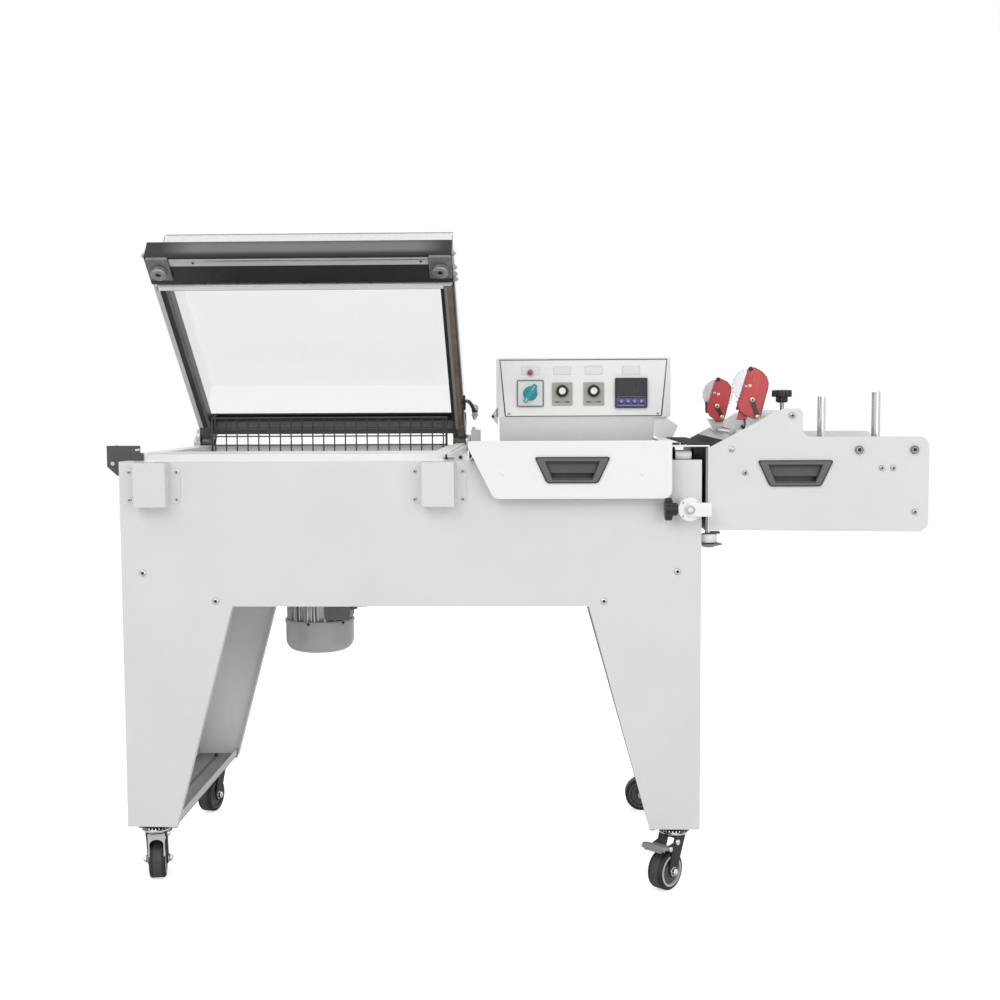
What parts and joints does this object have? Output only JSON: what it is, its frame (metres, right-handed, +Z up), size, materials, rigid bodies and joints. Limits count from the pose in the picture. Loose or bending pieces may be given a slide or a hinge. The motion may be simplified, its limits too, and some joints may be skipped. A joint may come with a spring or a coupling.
{
  "type": "l-bar sealer",
  "caption": "L-bar film sealer and shrink hood on casters, with a sliding packing table and a film cradle.",
  "frame": {"origin": "on the floor, below the middle of the machine's box", "axes": "+X along the machine from the hood to the film cradle, +Y from the operator to the back, +Z up"},
  "size_m": [1.5806, 0.6625, 1.2904],
  "materials": {
    "white_paint": "satin powder coat",
    "black_bar": "black anodised",
    "steel": "brushed",
    "zinc": "zinc plated",
    "chrome": "bright",
    "seal_jaw": "covered with fabric-backed release tape",
    "silicone": "matt",
    "acrylic": "clear cast sheet",
    "black_plastic": "moulded",
    "grey_plastic": "moulded",
    "grey_cover": "grey stove enamel",
    "cast_aluminium": "die cast",
    "galvanised": "galvanised sheet",
    "dark_plate": "black",
    "black_wire": "black coated wire",
    "red_paint": "gloss",
    "teal_plastic": "moulded",
    "controller": "moulded with a clear front",
    "bezel": "satin",
    "panel": "satin",
    "tyre": "rubber",
    "white_plastic": "moulded"
  },
  "bodies": {
    "chassis": {"front_panel": "white_paint", "rear_panel": "white_paint", "side_panels": "white_paint", "base_channels": "white_paint", "top_deck": "white_paint", "seal_pads": "silicone", "chamber_tub": "galvanised", "heater_elements": "steel", "wire_mesh": "black_wire", "fan_motor": "cast_aluminium", "motor_fan_cover": "grey_cover", "hood_magnets": "white_paint", "body_screws": "zinc", "side_bracket": "dark_plate", "hinge_bearings": "cast_aluminium", "limit_switch": "grey_plastic", "control_box": "white_paint", "control_panel": "panel", "instrument_bezels": "bezel", "temperature_controller": "controller", "guide_rails": "zinc", "lock_collar": "white_plastic", "caster_plates": "zinc"},
    "fan": {"fan_impeller": "galvanised"},
    "hood": {"hood_frame": "black_bar", "hood_fittings": "steel", "hood_cover": "acrylic", "seal_jaws": "seal_jaw", "hinge_shaft": "dark_plate"},
    "main_switch": {"main_switch_knob": "teal_plastic"},
    "timer_left": {"timer_knob_left": "black_plastic"},
    "timer_right": {"timer_knob_right": "black_plastic"},
    "table": {"loading_table": "white_paint", "table_handle": "grey_plastic"},
    "cradle": {"cradle_plates": "white_paint", "cradle_tie_bars": "steel", "cradle_handle": "grey_plastic", "hanger_plate": "dark_plate", "lock_rod": "white_paint"},
    "deck_roller": {"hanger_roller_upper": "white_plastic"},
    "side_roller": {"hanger_roller_lower": "white_plastic"},
    "film_roller_in": {"film_roller_inner": "steel"},
    "film_roller_out": {"film_roller_outer": "steel"},
    "film_guide": {"guide_roller": "steel"},
    "clamp_knob": {"peak_knob": "black_plastic"},
    "locking_knob": {"lock_knob": "black_plastic"},
    "perforator_front": {"perforator_arm_front": "red_paint"},
    "cutter_front": {"perforator_wheel_front": "chrome"},
    "perforator_rear": {"perforator_arm_rear": "red_paint"},
    "cutter_rear": {"perforator_wheel_rear": "chrome"},
    "caster_front_left": {"caster_fork_front_left": "zinc"},
    "wheel_front_left": {"caster_wheel_front_left": "tyre"},
    "caster_front_right": {"caster_fork_front_right": "zinc"},
    "wheel_front_right": {"caster_wheel_front_right": "tyre"},
    "caster_rear_left": {"caster_fork_rear_left": "zinc"},
    "wheel_rear_left": {"caster_wheel_rear_left": "tyre"},
    "caster_rear_right": {"caster_fork_rear_right": "zinc"},
    "wheel_rear_right": {"caster_wheel_rear_right": "tyre"},
    "brake_front_left": {"brake_pedal_front_left": "zinc"},
    "brake_front_right": {"brake_pedal_front_right": "zinc"}
  },
  "joints": [
    {"name": "fan_spin", "type": "hinge", "parent": "chassis", "child": "fan", "pos_m": [-0.41325, 0.00025, 0.64], "axis": [0, 0, 1], "continuous": true},
    {"name": "hood_hinge", "type": "hinge", "parent": "chassis", "child": "hood", "pos_m": [-0.41475, 0.23385, 0.8521], "axis": [1, 0, 0], "range_deg": [0, 40.8], "stiffness_Nm_per_rad": 30, "springref_deg": -85.94},
    {"name": "main_switch_turn", "type": "hinge", "parent": "chassis", "child": "main_switch", "pos_m": [0.03625, 0.17525, 0.9615], "axis": [0, -1, 0], "range_deg": [0, 90]},
    {"name": "timer_left_turn", "type": "hinge", "parent": "chassis", "child": "timer_left", "pos_m": [0.10745, 0.17525, 0.9655], "axis": [0, -1, 0], "range_deg": [0, 270]},
    {"name": "timer_right_turn", "type": "hinge", "parent": "chassis", "child": "timer_right", "pos_m": [0.17775, 0.17525, 0.9655], "axis": [0, -1, 0], "range_deg": [0, 270]},
    {"name": "table_slide", "type": "slide", "parent": "chassis", "child": "table", "axis": [0, -1, 0], "range_m": [0, 0.12]},
    {"name": "cradle_slide", "type": "slide", "parent": "chassis", "child": "cradle", "axis": [0, -1, 0], "range_m": [0, 0.12]},
    {"name": "film_roller_in_spin", "type": "hinge", "parent": "cradle", "child": "film_roller_in", "pos_m": [0.65925, -0.06825, 0.85], "axis": [0, 1, 0], "continuous": true},
    {"name": "film_roller_out_spin", "type": "hinge", "parent": "cradle", "child": "film_roller_out", "pos_m": [0.76225, -0.06825, 0.85], "axis": [0, 1, 0], "continuous": true},
    {"name": "film_guide_spin", "type": "hinge", "parent": "cradle", "child": "film_guide", "pos_m": [0.42045, -0.06825, 0.8519], "axis": [0, 1, 0], "continuous": true},
    {"name": "deck_roller_spin", "type": "hinge", "parent": "cradle", "child": "deck_roller", "pos_m": [0.33175, -0.26375, 0.8414], "axis": [1, 0, 0], "range_deg": [0, 770]},
    {"name": "side_roller_spin", "type": "hinge", "parent": "cradle", "child": "side_roller", "pos_m": [0.38115, -0.26375, 0.682], "axis": [0, 0, 1], "range_deg": [-440, 0]},
    {"name": "clamp_knob_turn", "type": "hinge", "parent": "cradle", "child": "clamp_knob", "pos_m": [0.52928, -0.19975, 0.95], "axis": [0, 0, 1], "range_deg": [0, 180]},
    {"name": "locking_knob_turn", "type": "hinge", "parent": "chassis", "child": "locking_knob", "pos_m": [0.30675, -0.31175, 0.7405], "axis": [1, 0, 0], "range_deg": [0, 180]},
    {"name": "perforator_front_swing", "type": "hinge", "parent": "cradle", "child": "perforator_front", "pos_m": [0.43775, -0.22975, 0.882], "axis": [0, -1, 0], "range_deg": [-8, 14]},
    {"name": "cutter_front_spin", "type": "hinge", "parent": "perforator_front", "child": "cutter_front", "pos_m": [0.4607, -0.22975, 0.9714], "axis": [0, 1, 0], "continuous": true},
    {"name": "perforator_rear_swing", "type": "hinge", "parent": "cradle", "child": "perforator_rear", "pos_m": [0.43775, 0.04025, 0.882], "axis": [0, -1, 0], "range_deg": [-8, 14]},
    {"name": "cutter_rear_spin", "type": "hinge", "parent": "perforator_rear", "child": "cutter_rear", "pos_m": [0.43517, 0.04025, 0.95585], "axis": [0, 1, 0], "continuous": true},
    {"name": "caster_front_left_swivel", "type": "hinge", "parent": "chassis", "child": "caster_front_left", "pos_m": [-0.70025, -0.26175, 0.106], "axis": [0, 0, 1], "continuous": true},
    {"name": "wheel_front_left_roll", "type": "hinge", "parent": "caster_front_left", "child": "wheel_front_left", "pos_m": [-0.70586, -0.23534, 0.0375], "axis": [0.9781, 0.2079, 0], "continuous": true},
    {"name": "brake_front_left_press", "type": "hinge", "parent": "caster_front_left", "child": "brake_front_left", "pos_m": [-0.70815, -0.22458, 0.084], "axis": [-0.9781, -0.2079, 0], "range_deg": [0, 12]},
    {"name": "caster_front_right_swivel", "type": "hinge", "parent": "chassis", "child": "caster_front_right", "pos_m": [0.31675, -0.26175, 0.106], "axis": [0, 0, 1], "continuous": true},
    {"name": "wheel_front_right_roll", "type": "hinge", "parent": "caster_front_right", "child": "wheel_front_right", "pos_m": [0.29904, -0.28213, 0.0375], "axis": [-0.7547, 0.6561, 0], "continuous": true},
    {"name": "brake_front_right_press", "type": "hinge", "parent": "caster_front_right", "child": "brake_front_right", "pos_m": [0.29182, -0.29043, 0.084], "axis": [0.7547, -0.6561, 0], "range_deg": [0, 12]},
    {"name": "caster_rear_left_swivel", "type": "hinge", "parent": "chassis", "child": "caster_rear_left", "pos_m": [-0.70025, 0.23225, 0.106], "axis": [0, 0, 1], "continuous": true},
    {"name": "wheel_rear_left_roll", "type": "hinge", "parent": "caster_rear_left", "child": "wheel_rear_left", "pos_m": [-0.70724, 0.20617, 0.0375], "axis": [-0.9659, 0.2588, 0], "continuous": true},
    {"name": "caster_rear_right_swivel", "type": "hinge", "parent": "chassis", "child": "caster_rear_right", "pos_m": [0.31675, 0.23225, 0.106], "axis": [0, 0, 1], "continuous": true},
    {"name": "wheel_rear_right_roll", "type": "hinge", "parent": "caster_rear_right", "child": "wheel_rear_right", "pos_m": [0.28975, 0.23225, 0.0375], "axis": [0, 1, 0], "continuous": true}
  ],
  "couplings": [
    {"joint": "deck_roller_spin", "follows": "cradle_slide", "rad_per_m": 111.11},
    {"joint": "side_roller_spin", "follows": "cradle_slide", "rad_per_m": -62.5}
  ]
}
